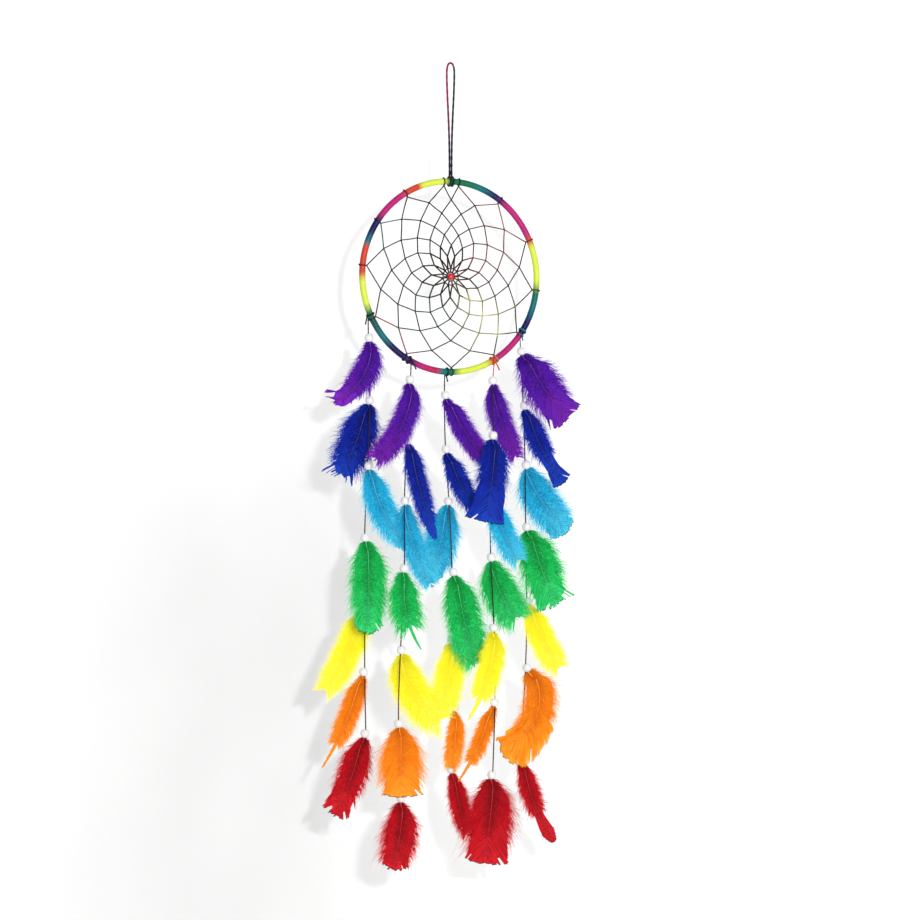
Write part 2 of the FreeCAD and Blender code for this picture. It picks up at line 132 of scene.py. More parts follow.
PLY_MIDDLE, PLY_DEPTH = 1.03, 0.08  # a plied cord's middle radius and its ridges, beside its radius


class Builder:
    """Gathers points, faces, UVs and material numbers, and makes one object of them."""

    def __init__(self):
        self.points = []
        self.faces = []
        self.uvs = []
        self.slots = []

    def face(self, indices, uvs, slot=0):
        self.faces.append(tuple(indices))
        self.uvs += uvs
        self.slots.append(slot)

    def grid(self, rows, uv_rows, slot=0, around=False, caps=False):
        """Joins rows of points by quads; around closes each row on itself."""
        first = len(self.points)
        wide = len(rows[0])
        for row in rows:
            self.points += row
        for r in range(len(rows) - 1):
            for c in range(wide if around else wide - 1):
                after = (c + 1) % wide
                a, b = first + r * wide + c, first + r * wide + after
                d, e = a + wide, b + wide
                low, high = uv_rows[r], uv_rows[r + 1]
                self.face((a, b, e, d), [low[c], low[c + 1], high[c + 1], high[c]], slot)
        if caps:
            last = first + (len(rows) - 1) * wide
            self.face(range(first + wide - 1, first - 1, -1), [uv_rows[0][0]] * wide, slot)
            self.face(range(last, last + wide), [uv_rows[-1][0]] * wide, slot)

    def tube(self, path, radii, sides, slot=0, u0=0.0, u1=1.0, twist=0.0, closed=False, uv_of=None):
        """A tube along the path. twist, in radians per metre, gives it the plies of a twisted cord."""
        frames = frames_along(path, closed)
        lengths = lengths_along(path)
        rows, uv_rows = [], []
        for n, (point, (side, up)) in enumerate(zip(path, frames)):
            radius = radii[n] if isinstance(radii, list) else radii
            turned = twist * lengths[n]
            row = []
            for k in range(sides):
                angle = 2 * pi * k / sides
                ply = PLY_MIDDLE + PLY_DEPTH * cos(2 * (angle - turned)) if twist else 1
                row.append(point + (side * cos(angle) + up * sin(angle)) * radius * ply)
            rows.append(row)
            u = u0 + (u1 - u0) * lengths[n] / lengths[-1]
            uv_rows.append([uv_of(point) if uv_of else (u, k / sides) for k in range(sides + 1)])
        if closed:
            rows.append(rows[0])
            uv_rows.append([(u1, k / sides) for k in range(sides + 1)])
        self.grid(rows, uv_rows, slot, around=True, caps=not closed)

    def ball(self, middle, radius, squash, axis, uv, rings=6, sides=10):
        turn = axis.to_track_quat("Z", "Y").to_matrix()
        rows = []
        for r in range(rings + 1):
            tilt = pi * (0.02 + 0.96 * r / rings)
            ring = []
            for k in range(sides):
                around = -2 * pi * k / sides
                out = Vector((cos(around), sin(around), 0)) * sin(tilt)
                ring.append(middle + turn @ (out + Vector((0, 0, cos(tilt) * squash))) * radius)
            rows.append(ring)
        self.grid(rows, [[uv] * (sides + 1)] * (rings + 1), around=True, caps=True)

    def make(self, name, materials, body, node):
        """The object, which rides on its body and is seen instead of its CAD node."""
        mesh = bpy.data.meshes.new(name)
        mesh.from_pydata(self.points, [], self.faces)
        layer = mesh.uv_layers.new(name="Along")
        layer.data.foreach_set("uv", [value for pair in self.uvs for value in pair])
        for material in materials:
            mesh.materials.append(material)
        mesh.polygons.foreach_set("material_index", self.slots)
        mesh.polygons.foreach_set("use_smooth", [True] * len(self.faces))
        mesh.update()
        made = new_object(name, mesh)
        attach(made, body)
        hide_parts(node)
        return made


def new_object(name, data):
    made = bpy.data.objects.new(name, data)
    bpy.context.collection.objects.link(made)
    return made


def lengths_along(line):
    """How far each point of a line is from its start, along it."""
    lengths = [0.0]
    for a, b in zip(line, line[1:]):
        lengths.append(lengths[-1] + (b - a).length)
    return lengths


def frames_along(path, closed=False):
    """A side and an up direction at each point, turning as little as they can."""
    count = len(path)
    directions = []
    for n in range(count):
        before = path[n - 1] if n or closed else path[0]
        after = path[(n + 1) % count] if n < count - 1 or closed else path[-1]
        directions.append((after - before).normalized())
    first = Vector((0, 1, 0))
    if abs(directions[0].dot(first)) > 0.9:
        first = Vector((1, 0, 0))
    side = (first - directions[0] * first.dot(directions[0])).normalized()
    frames = []
    for direction in directions:
        side = (side - direction * side.dot(direction)).normalized()
        frames.append((side, direction.cross(side)))
    return frames


def on_hoop(angle, radius=RING_RADIUS):
    """A point of the hoop's plane, from the hoop's centre; the angle is clockwise from the top."""
    turn = radians(angle)
    return Vector((radius * sin(turn), 0, radius * cos(turn)))


def hoop_tangent(angle):
    turn = radians(angle)
    return Vector((cos(turn), 0, -sin(turn)))


def smooth_step(low, high, value):
    x = min(max((value - low) / (high - low), 0.0), 1.0)
    return x * x * (3 - 2 * x)


# ---- materials ----


def node_tree(name):
    material = bpy.data.materials.new(name)
    material.use_nodes = True
    tree = material.node_tree
    return material, tree, tree.nodes["Principled BSDF"]


def feed(node, inputs):
    """Links each input to its socket, or sets its value."""
    for name, value in inputs.items():
        if isinstance(value, bpy.types.NodeSocket):
            node.id_data.links.new(value, node.inputs[name])
        else:
            node.inputs[name].default_value = value


def add(tree, kind, inputs, **settings):
    node = tree.nodes.new("ShaderNode" + kind)
    for name, value in settings.items():
        setattr(node, name, value)
    feed(node, inputs)
    return node


def ramp(tree, factor, stops):
    """A colour ramp with stops [(place, colour)]."""
    node = add(tree, "ValToRGB", {"Fac": factor})
    band = node.color_ramp
    while len(band.elements) < len(stops):
        band.elements.new(1.0)
    for element, (place, colour) in zip(band.elements, stops):
        element.position = place
        element.color = (*colour, 1)
    return node.outputs["Color"]


def greys(tree, factor, *stops):
    """A ramp with stops (place, grey)."""
    return ramp(tree, factor, [(place, (grey,) * 3) for place, grey in stops])


def around_ramp(tree, u, dyes):
    """A ramp with stops (degrees round the hoop, dye)."""
    return ramp(tree, u, [(angle / 360, dye) for angle, dye in dyes])


def uv_parts(tree):
    uv = add(tree, "UVMap", {}, uv_map="Along")
    split = add(tree, "SeparateXYZ", {"Vector": uv.outputs["UV"]})
    return uv.outputs["UV"], split.outputs["X"], split.outputs["Y"]


def maths(tree, operation, a, b):
    return add(tree, "Math", {0: a, 1: b}, operation=operation).outputs["Value"]


def wandering(tree, u, scale, amount):
    """u, pushed to and fro by noise, so that one dye runs unevenly into the next; and the noise."""
    blotch = noise(tree, *scale)
    push = maths(tree, "MULTIPLY", maths(tree, "SUBTRACT", blotch, 0.5), amount)
    return maths(tree, "ADD", u, push), blotch


def mixed(tree, factor, a, b, blend="MIX"):
    a, b = [dye if isinstance(dye, bpy.types.NodeSocket) else (*dye, 1) for dye in (a, b)]
    node = add(tree, "Mix", {0: factor, 6: a, 7: b}, data_type="RGBA", blend_type=blend)
    return node.outputs[2]


def noise(tree, scale, detail=3.0, vector=None, stretch=None):
    """Noise over the object's own coordinates, in metres, or over a given vector."""
    if vector is None:
        vector = add(tree, "TexCoord", {}).outputs["Object"]
    if stretch:
        vector = add(tree, "Mapping", {"Vector": vector, "Scale": stretch}).outputs[0]
    made = add(tree, "TexNoise", {"Vector": vector, "Scale": scale, "Detail": detail})
    return made.outputs["Fac"]


def mix_shaders(tree, factor, first, second):
    """Puts a mix of two shaders on the surface."""
    both = add(tree, "MixShader", {0: factor, 1: first.outputs[0], 2: second.outputs[0]})
    tree.links.new(both.outputs[0], tree.nodes["Material Output"].inputs["Surface"])


def bump(tree, shader, height, distance, strength):
    made = add(tree, "Bump", {"Height": height, "Distance": distance, "Strength": strength})
    feed(shader, {"Normal": made.outputs["Normal"]})


# The dyes of the cords.
GREEN, TEAL, DARK_TEAL = (0.002, 0.14, 0.06), (0.001, 0.15, 0.18), (0.006, 0.06, 0.06)
NAVY, PURPLE = (0.003, 0.004, 0.08), (0.09, 0.006, 0.14)
MAGENTA, CRIMSON = (0.46, 0.010, 0.16), (0.46, 0.012, 0.07)
ORANGE, YELLOW = (0.60, 0.050, 0.025), (0.66, 0.78, 0.07)
BROWN, BLACK = (0.05, 0.012, 0.008), (0.003, 0.004, 0.006)

# The winding's dyes by angle, clockwise from the hoop's top.
WRAP_DYES = [
    (0, GREEN), (12, GREEN), (20, TEAL), (30, NAVY), (35, PURPLE), (40, MAGENTA), (61, MAGENTA),
    (66, ORANGE), (71, YELLOW), (91, YELLOW), (99, GREEN), (108, TEAL), (118, NAVY), (126, NAVY),
    (130, MAGENTA), (146, MAGENTA), (151, ORANGE), (157, YELLOW), (173, YELLOW), (179, GREEN),
    (186, TEAL), (190, CRIMSON), (200, MAGENTA), (207, PURPLE), (212, NAVY), (222, NAVY), (230, TEAL),
    (240, DARK_TEAL), (247, GREEN), (253, YELLOW), (266, YELLOW), (271, ORANGE), (286, ORANGE),
    (290, TEAL), (297, NAVY), (304, NAVY), (309, MAGENTA), (325, MAGENTA), (330, ORANGE), (338, ORANGE),
    (341, YELLOW), (354, YELLOW), (360, GREEN),
]


def wrap_dye(tree, u):
    """The winding's dye at u turns round the hoop. A ramp holds 32 stops, so it is two ramps."""
    half = len(WRAP_DYES) // 2
    first = around_ramp(tree, u, WRAP_DYES[: half + 1])
    second = around_ramp(tree, u, WRAP_DYES[half:])
    after = maths(tree, "GREATER_THAN", u, WRAP_DYES[half][0] / 360)
    return mixed(tree, after, first, second)


def fibrous(tree, shader, dye, shade, rough, specular, fibre, depth, strength):
    """Spun thread: dye times shade, with its fibres raised."""
    colour = mixed(tree, 1.0, dye, shade, "MULTIPLY")
    feed(shader, {"Base Color": colour, "Roughness": rough, "Specular IOR Level": specular})
    bump(tree, shader, fibre, depth, strength)


def wrap_material():
    """Dyed satin lace, wound: the dye is uneven, and its fibres vary in tone at random."""
    material, tree, shader = node_tree("rainbow_wrap")
    wavy, blotch = wandering(tree, uv_parts(tree)[1], (260, 4), 0.008)
    fibre = noise(tree, 2600, 2)
    shade = greys(tree, fibre, (0.3, 0.66), (0.7, 1.0))
    rough = greys(tree, blotch, (0.3, 0.22), (0.7, 0.34))
    fibrous(tree, shader, wrap_dye(tree, wavy), shade, rough, 0.2, fibre, 0.08 * MM, 0.6)
    return material


def dyed_cord_material(name, stops):
    """Waxed cord whose dye changes along it, by stops (share of its length, dye)."""
    material, tree, shader = node_tree(name)
    wavy, _ = wandering(tree, uv_parts(tree)[1], (180, 3), 0.03)
    fibre = noise(tree, 3200, 2)
    shade = greys(tree, fibre, (0.3, 0.65), (0.75, 1.3))
    rough = greys(tree, fibre, (0.3, 0.5), (0.7, 0.7))
    fibrous(tree, shader, ramp(tree, wavy, stops), shade, rough, 0.25, fibre, 0.06 * MM, 0.6)
    return material


# The net's thread by angle round the hoop: the inner rounds, then the stretches next to the hoop.
NET_DYES = [
    (0, BLACK), (15, BLACK), (30, BROWN), (60, (0.16, 0.04, 0.035)), (80, (0.12, 0.03, 0.025)),
    (100, (0.03, 0.025, 0.02)), (120, (0.14, 0.13, 0.04)), (135, (0.42, 0.42, 0.16)),
    (160, (0.14, 0.16, 0.06)), (178, (0.004, 0.03, 0.022)), (215, (0.003, 0.03, 0.03)),
    (262, (0.004, 0.012, 0.012)), (300, BLACK), (360, BLACK),
]
NET_RIM_DYES = [
    (0, BLACK), (6, BROWN), (20, (0.16, 0.03, 0.02)), (50, (0.30, 0.10, 0.08)), (64, (0.05, 0.03, 0.02)),
    (75, (0.006, 0.02, 0.015)), (97, BLACK), (130, BLACK), (140, (0.05, 0.08, 0.03)), (152, BLACK),
    (200, BLACK), (207, (0.22, 0.02, 0.03)), (240, (0.26, 0.025, 0.035)), (247, BLACK),
    (285, (0.004, 0.04, 0.04)), (304, (0.02, 0.11, 0.11)), (316, BLACK), (360, BLACK),
]


STAR_DYE = (0.02, 0.003, 0.004)
NET_RIM_FROM, STAR_WITHIN = 0.82, 0.25  # as shares of the hoop's radius


def net_material():
    material, tree, shader = node_tree("net_thread")
    _, u, v = uv_parts(tree)
    inner, rim = around_ramp(tree, u, NET_DYES), around_ramp(tree, u, NET_RIM_DYES)
    dye = mixed(tree, maths(tree, "GREATER_THAN", v, NET_RIM_FROM), inner, rim)
    star = maths(tree, "MULTIPLY", maths(tree, "LESS_THAN", v, STAR_WITHIN), 0.8)
    dye = mixed(tree, star, dye, STAR_DYE)
    patchy = greys(tree, noise(tree, 90, 3), (0.35, 0.6), (0.65, 1.25))
    fibre = noise(tree, 4200, 2)
    rough = greys(tree, fibre, (0.3, 0.45), (0.7, 0.65))
    fibrous(tree, shader, dye, patchy, rough, 0.25, fibre, 0.05 * MM, 0.5)
    return material


def bead_material(name, colour, low, high):
    """Moulded plastic with a soft gloss, slightly cloudy, and worn duller in places."""
    material, tree, shader = node_tree(name)
    cloud = noise(tree, 420, 3)
    looks = {
        "Base Color": ramp(tree, cloud, [(0.3, [c * 0.9 for c in colour]), (0.7, colour)]),
        "Roughness": greys(tree, noise(tree, 900, 4), (0.35, low), (0.75, high)),
        "Subsurface Weight": 0.1,
        "Subsurface Radius": (2 * MM,) * 3,
        "Subsurface Scale": 1.0,
        "Coat Weight": 0.3,
    }
    feed(shader, looks)
    bump(tree, shader, cloud, 0.04 * MM, 0.4)
    return material


def steel_material():
    material, tree, shader = node_tree("steel_wire")
    streak = noise(tree, 1500, 2, stretch=(1, 0.1, 1))
    tone = ramp(tree, streak, [(0.3, (0.45, 0.45, 0.47)), (0.7, (0.66, 0.66, 0.68))])
    rough = greys(tree, streak, (0.3, 0.28), (0.7, 0.42))
    feed(shader, {"Base Color": tone, "Metallic": 1.0, "Roughness": rough})
    return material


# Dyed feathers: the dye darkened by painted shade for the thick of the down, the dye on the barbs, and the
# dye lightened by painted light where light comes through.
FEATHER_DYES_LIT_AND_SHADED = {
    "violet": ((0.035, 0.002, 0.21), (0.110, 0.009, 0.50), (0.34, 0.024, 0.58)),
    "blue": ((0.001, 0.003, 0.14), (0.005, 0.020, 0.46), (0.014, 0.09, 0.70)),
    "cyan": ((0.003, 0.28, 0.54), (0.012, 0.56, 0.82), (0.16, 0.84, 0.95)),
    "green": ((0.001, 0.28, 0.04), (0.005, 0.63, 0.12), (0.08, 0.88, 0.30)),
    "yellow": ((0.93, 0.82, 0.010), (0.97, 0.95, 0.025), (1.0, 0.99, 0.15)),
    "orange": ((0.80, 0.16, 0.001), (0.98, 0.33, 0.004), (1.0, 0.50, 0.04)),
    "red": ((0.25, 0.0008, 0.005), (0.70, 0.003, 0.014), (0.88, 0.022, 0.036)),
}


def feather_material(colour):
    """Barbs: painted shade by the shaft, near the bead, between clumps and along the cut rim, and painted
    light at their ends and towards the feather's tip; random streaks vary their tone. Light comes through
    them."""
    shaded_dye, dye, lit_dye = FEATHER_DYES_LIT_AND_SHADED[colour]
    material, tree, shader = node_tree(f"{colour}_barbs")
    uv, u, v = uv_parts(tree)
    # Painted shade by the shaft, painted light at the barbs' ends.
    along = ramp(tree, v, [(0.0, shaded_dye), (0.1, shaded_dye), (0.4, dye), (0.7, dye), (0.95, lit_dye)])
    streaks = noise(tree, 1.0, 2, vector=uv, stretch=(100, 2.2, 1))
    clumps = noise(tree, 90, 2)
    # Painted light towards the feather's tip.
    light = mixed(tree, greys(tree, u, (0.45, 0.0), (0.9, 0.6)), along, lit_dye)
    dyed = mixed(tree, greys(tree, streaks, (0.36, 0.8), (0.52, 0.0)), light, shaded_dye)
    dyed = mixed(tree, greys(tree, streaks, (0.52, 0.0), (0.68, 0.55)), dyed, lit_dye)
    # Painted shade between clumps.
    dyed = mixed(tree, greys(tree, clumps, (0.36, 0.2), (0.6, 0.0)), dyed, shaded_dye)
    # A deeper painted shade: near the bead, then along the cut rim.
    darker_shade = [0.45 * c for c in shaded_dye]
    dyed = mixed(tree, greys(tree, u, (0.0, 0.5), (0.2, 0.1), (0.45, 0.0)), dyed, darker_shade)
    dyed = mixed(tree, greys(tree, v, (0.935, 0.0), (0.965, 0.85)), dyed, darker_shade)
    rough = greys(tree, streaks, (0.3, 0.5), (0.7, 0.72))
    feed(shader, {"Base Color": dyed, "Roughness": rough, "Specular IOR Level": 0.15})
    through = add(tree, "BsdfTranslucent", {"Color": dyed})
    mix_shaders(tree, 0.4, shader, through)
    return material


def quill_material(colour):
    """The shaft: pale horn that took less of the dye."""
    shaded_dye, dye, lit_dye = FEATHER_DYES_LIT_AND_SHADED[colour]
    material, tree, shader = node_tree(f"{colour}_shaft")
    uv, u, _ = uv_parts(tree)
    pale = [0.2 + 0.5 * c for c in lit_dye]
    stained = [0.75 * a + 0.25 * b for a, b in zip(dye, lit_dye)]
    tone = ramp(tree, u, [(0.0, pale), (0.1, stained), (0.6, stained), (1.0, shaded_dye)])
    grain = greys(tree, noise(tree, 1.0, 2, vector=uv, stretch=(9, 60, 1)), (0.3, 0.8), (0.7, 1.1))
    colour = mixed(tree, 1.0, tone, grain, "MULTIPLY")
    feed(shader, {"Base Color": colour, "Roughness": greys(tree, u, (0.0, 0.3), (1.0, 0.5))})
    return material


# ---- the hoop ----


GROOVE_DEPTH = 0.085  # between the winding's turns, beside its radius
TURN_SHARPNESS = 0.6  # under 1, the winding's turns are flatter on top
UNEVEN = 0.06  # how much higher or lower one turn is, beside the groove's depth


def hoop_wrap(material):
    """The lace wound round the wire: a ring whose surface rises and falls in a helix."""
    turns, steps_per_turn, sides = 300, 6, 18
    made = Builder()
    rows, uv_rows = [], []
    rng = random.Random(3)
    uneven = [rng.uniform(-UNEVEN, UNEVEN) for _ in range(turns)]
    steps = turns * steps_per_turn
    for n in range(steps + 1):
        share = n / steps
        turn = 2 * pi * share
        out = Vector((sin(turn), 0, cos(turn)))
        row = []
        for k in range(sides):
            angle = 2 * pi * k / sides
            phase = share * turns + k / sides
            ridge = abs(sin(pi * phase)) ** TURN_SHARPNESS
            lift = 1 + uneven[int(phase) % turns]
            radius = TUBE_RADIUS * (1 - GROOVE_DEPTH + GROOVE_DEPTH * ridge * lift)
            spot = HOOP_CENTRE + out * (RING_RADIUS + radius * cos(angle))
            row.append(spot + Vector((0, radius * sin(angle), 0)))
        rows.append(row)
        uv_rows.append([(share, k / sides) for k in range(sides + 1)])
    made.grid(rows, uv_rows, around=True)
    made.make("hoop_winding", [material], "hoop", "hoop_wrap")


# ---- the net ----

NET_HITCHES = [-117, -84.5, -56, -31, -4.5, 5.5, 35, 66, 97, 126.5, 148.5, 179.5, 211.5]
NET_ROUNDS = [92.4, 78, 65, 53, 43, 32, 21, 8.5]  # the knots' distances from the centre, in mm
STAR_ROUND = 5  # from this round inwards, the thread is doubled
STAR_THREAD_RADIUS = 0.8 * MM
STAR_RINGS = (8.5, 4.4)
SPOKE_END = 4.2
THREAD_BOW = 0.25, 0.3, 0.25  # how far a stretch bows at most, in mm


def net_knots():
    angles = list(NET_HITCHES)
    rounds = []
    for radius in NET_ROUNDS:
        rounds.append([(angle, radius * MM) for angle in angles])
        angles = [(a + b) / 2 for a, b in zip(angles, angles[1:] + [angles[0] + 360])]
    return rounds


def loop_round(middle, axis, radius, steps, sweep=360, drift=0.0):
    """Points of a turn about an axis through middle, drifting along it."""
    axis = axis.normalized()
    side = axis.cross(Vector((0, 1, 0))).normalized()
    up = axis.cross(side)
    points = []
    for n in range(steps + 1):
        angle = radians(sweep * n / steps)
        shift = axis * drift * (n / steps - 0.5)
        points.append(middle + (side * cos(angle) + up * sin(angle)) * radius + shift)
    return points


def net_uv(point):
    """The angle round the hoop and the reach from its centre, from 0 to 1."""
    flat = point - HOOP_CENTRE
    return (degrees(atan2(flat.x, flat.z)) / 360) % 1.0, flat.length / RING_RADIUS


def net_thread(made, a, b, rng, radius=THREAD_RADIUS):
    """One stretch of thread, pulled nearly straight."""
    steps = 4
    bow = Vector([rng.uniform(-most, most) for most in THREAD_BOW]) * MM
    path = [a.lerp(b, n / steps) + bow * sin(pi * n / steps) for n in range(steps + 1)]
    made.tube(path, radius, 6, uv_of=net_uv)


def net_knot(made, spot, rng):
    """A half hitch of one thread round another, drawn small."""
    out = (spot - HOOP_CENTRE).normalized()
    axis = out.cross(Vector((0, 1, 0))) + out * rng.uniform(-0.5, 0.5)
    u, v = net_uv(spot)
    made.tube(loop_round(spot, axis, 0.55 * MM, 10, drift=0.5 * MM), 0.34 * MM, 5, u0=u, u1=u)
    made.ball(spot, 0.68 * MM, 0.8, out, (u, v), 4, 8)


def net_hitch(made, angle, foot):
    """The thread's turn round the hoop, and the knot at its foot."""
    middle = HOOP_CENTRE + on_hoop(angle)
    loop = loop_round(middle, hoop_tangent(angle), TUBE_RADIUS + 0.45 * MM, 28, drift=1.0 * MM)
    u = (angle / 360) % 1.0
    made.tube(loop, THREAD_RADIUS, 6, u0=u, u1=u)
    made.ball(foot, 0.9 * MM, 0.8, on_hoop(angle), net_uv(foot), 5, 8)


def net(material):
    """The knotted thread: rounds of stretches, a half hitch at each knot and on the hoop."""
    made = Builder()
    rng = random.Random(11)
    knots = [[HOOP_CENTRE + on_hoop(a, r) for a, r in ring] for ring in net_knots()]
    count = len(NET_HITCHES)
    for depth, (outer, inner) in enumerate(zip(knots, knots[1:])):
        radius = STAR_THREAD_RADIUS if depth >= STAR_ROUND else THREAD_RADIUS
        for i in range(count):
            net_thread(made, outer[i], inner[i], rng, radius)
            net_thread(made, inner[i], outer[(i + 1) % count], rng, radius)
    for ring in knots[1:-1]:
        for spot in ring:
            net_knot(made, spot, rng)
    for angle, foot in zip(NET_HITCHES, knots[0]):
        net_hitch(made, angle, foot)
    for reach in STAR_RINGS:
        ring = [HOOP_CENTRE + on_hoop(180 * k / count, reach * MM) for k in range(2 * count)]
        for a, b in zip(ring, ring[1:] + ring[:1]):
            net_thread(made, a, b, rng)
    for inner in knots[-1]:
        centre = HOOP_CENTRE + (inner - HOOP_CENTRE).normalized() * SPOKE_END * MM
        net_thread(made, inner, centre, rng, STAR_THREAD_RADIUS)
    through_bead = Vector((STAR_RINGS[0] * MM, 0, 0))
    net_thread(made, HOOP_CENTRE - through_bead, HOOP_CENTRE + through_bead, rng)
    made.make("net", [material], "hoop", "web")


# ---- beads ----


BELLY_TILT = radians(58)  # how far up and down its side a bead is round
BELLY_FULLNESS = 0.85  # under 1, the belly is fuller than a ball's
RIM_SHARE = 0.12  # the radius of the rolled rims, beside the bead's
FACE_DOME = 0.02  # how far the top face swells, beside half the bead's height


def bead_mesh(made, middle, axis, radius, half_height, bore, uv=(0.5, 0.5)):
    """A moulded bead: a round belly, rolled rims and an open bore, lathed about its axis."""
    sides = 28
    turn = axis.to_track_quat("Z", "Y").to_matrix()
    rim = radius * RIM_SHARE
    profile = []
    for n in range(11):
        tilt = BELLY_TILT * (n / 5 - 1)
        height = half_height * sin(tilt) / sin(BELLY_TILT)
        profile.append((radius * cos(tilt) ** BELLY_FULLNESS, height))
    edge = profile[0][0]
    face = [edge - (edge - bore - rim) * n / 5 for n in range(1, 5)]
    for n, reach in enumerate(face, 1):
        swell = 1 + FACE_DOME * sin(pi * n / 5)
        profile.append((reach, half_height * swell))
    rolls = [pi * n / 8 for n in range(5)]
    rolled = [(rim * (1 - sin(roll)), rim * (1 - cos(roll))) for roll in rolls]
    profile += [(bore + out, half_height - down) for out, down in rolled]
    profile += [(bore + out, -half_height + up) for up, out in rolled]
    profile += [(reach, -half_height) for reach in reversed(face)]
    rows = []
    for k in range(sides):
        angle = 2 * pi * k / sides
        around = Vector((cos(angle), sin(angle), 0))
        rows.append([middle + turn @ (around * r + Vector((0, 0, h))) for r, h in profile])
    rows.append(rows[0])
    made.grid(rows, [[uv] * (len(profile) + 1)] * len(rows), around=True)


def centre_bead(material):
    made = Builder()
    bead_mesh(made, HOOP_CENTRE, Vector((1, 0, 0)), 3.5 * MM, 3.0 * MM, 0.85 * MM)
    made.make("red_centre_bead", [material], "hoop", "centre_bead")


# ---- cords ----


def spline_points(name, points):
    """Points of the smooth line that a cord's route gives."""
    curve = bpy.data.curves.new(name, "CURVE")
    curve.dimensions = "3D"
    curve.resolution_u = 24
    spline = curve.splines.new("NURBS")
    spline.points.add(len(points) - 1)
    for place, point in zip(spline.points, points):
        place.co = (*point, 1)
    spline.order_u = 3
    spline.use_endpoint_u = True
    holder = new_object(name, curve)
    bpy.context.view_layer.update()
    graph = bpy.context.evaluated_depsgraph_get()
    mesh = bpy.data.meshes.new_from_object(holder.evaluated_get(graph))
    line = [vertex.co.copy() for vertex in mesh.vertices]
    bpy.data.meshes.remove(mesh)
    bpy.data.objects.remove(holder)
    bpy.data.curves.remove(curve)
    return line


def resample(line, step):
    """Points about a step apart along a line."""
    lengths = lengths_along(line)
    count = max(2, round(lengths[-1] / step))
    points, k = [], 0
    for n in range(count + 1):
        wanted = lengths[-1] * n / count
        while k < len(lengths) - 2 and lengths[k + 1] < wanted:
            k += 1
        span = max(lengths[k + 1] - lengths[k], 1e-9)
        points.append(line[k].lerp(line[k + 1], min((wanted - lengths[k]) / span, 1.0)))
    return points


LAY = 7.5  # a ply's turn, in diameters of the cord
CORD_STEP = 0.8 * MM


def twisted_cord(name, points, diameter, material, body, node, slot, far_end):
    """A plied cord along its route."""
    line = resample(spline_points(name, points), CORD_STEP)
    made = Builder()
    made.tube(line, diameter / 2, 10, twist=2 * pi / (LAY * diameter))
    thing = made.make(name, [material], body, node)


KNOT_RING_RADIUS = 4.6 * MM
KNOT_TURNS_X = 1.6
KNOT_TWIST = 560  # in radians per metre, as HITCH_TWIST
# A leg of the hanging loop, from the knot to the top, as X and Z.
HANGER_LEG = [(1.15, -113.2), (1.15, -88), (2.1, -58), (4.0, -24), (4.4, 1.0)]


def hanger_cord(material):
    """The loop that hangs on a hook: its route is part.py's."""
    route = HANGER_LEG + [(-x, z) for x, z in reversed(HANGER_LEG)]
    points = [Vector((x, 0, z)) * MM for x, z in route]
    names = "hanger", "hanger_cord", "hanger_cord"
    twisted_cord("hanging_loop", points, HANGER_DIAMETER, material, *names, "object")


def hanger_knot(material):
    """The lark's head: two turns round the hoop under the bight that crosses them in front."""
    made = Builder()
    radius = HANGER_DIAMETER / 2
    for x in (-KNOT_TURNS_X, KNOT_TURNS_X):
        middle = HOOP_TOP + Vector((x * MM, 0, 0))
        ring = loop_round(middle, Vector((1, 0, 0)), KNOT_RING_RADIUS, 40)[:-1]
        made.tube(ring, radius, 10, twist=KNOT_TWIST, closed=True)
    bight = []
    for n in range(17):
        across, bulge = cos(pi * n / 16), sin(pi * n / 16)
        bight.append(HOOP_TOP + Vector((-2.1 * across, -4.7 - 0.9 * bulge, 1.6 + 0.7 * bulge)) * MM)
    made.tube(bight, radius, 10, twist=KNOT_TWIST)
    for x in (-1.1, 1.1):
        foot = [(1.6 * x, -1.2, 4.3), (1.2 * x, -0.4, 5.1), (x, 0, 5.75)]
        made.tube([HOOP_TOP + Vector(spot) * MM for spot in foot], radius, 10, twist=KNOT_TWIST)
    made.make("larks_head_knot", [material], "lark_head", "hanger_knot")


# ---- strands ----


def strand_top(strand):
    return HOOP_CENTRE + on_hoop(strand["angle"]) + Vector((0, strand["side"] * HITCH_Y * MM, 0))


def bead_places(strand):
    return [Vector((x, STRAND_Y[strand["side"]], z)) * MM for x, z in strand["beads"]]


def leaves_to(shape):
    """1 if the feather leaves its bead towards +X, or -1."""
    lean, bend = shape[:2]
    return 1 if lean > bend / 2 else -1


HITCH_TWIST = 900
HITCH_LOOPS = [(35, 0.3), (-30, -0.3)]  # the knot's loops: their tilt in degrees and their height


def strand_hitch(number, strand, material):
    """Two tight turns round the hoop, the knot that closes them and its cut tail."""
    made = Builder()
    middle = HOOP_CENTRE + on_hoop(strand["angle"])
    tangent = hoop_tangent(strand["angle"])
    knot = strand_top(strand)
    radius = STRAND_DIAMETER / 2
    turns = loop_round(middle, tangent, TUBE_RADIUS + 0.1 * MM + radius, 64, sweep=720, drift=1.3 * MM)
    made.tube(turns, radius, 8, u1=0.0, twist=HITCH_TWIST)
    side = strand["side"]
    for tilt, height in HITCH_LOOPS:
        axis = Vector((cos(radians(tilt)), 0, sin(radians(tilt))))
        ring = loop_round(knot + Vector((0, -0.35 * side, height)) * MM, axis, 1.05 * MM, 22)[:-1]
        made.tube(ring, radius, 8, u1=0.0, closed=True)
    out = strand["tail"]
    spread = 1.2 if out < 0 else 3.6
    tail = []
    for n in range(9):
        share = n / 8
        spot = out * (0.6 + spread * share**0.8), side * (0.4 + 2.0 * share), -0.6 - 8.4 * share
        tail.append(knot + Vector(spot) * MM)
    made.tube(tail, [radius * (1.3 - 0.1 * n / 8) for n in range(9)], 8, u1=0.02, twist=HITCH_TWIST)
    made.ball(tail[-1], 0.9 * MM, 1.2, tail[-1] - tail[-2], (0.0, 0.5))
    made.make(f"strand_{number}_knot", [material], "hoop", f"strand_{number}_hitch")


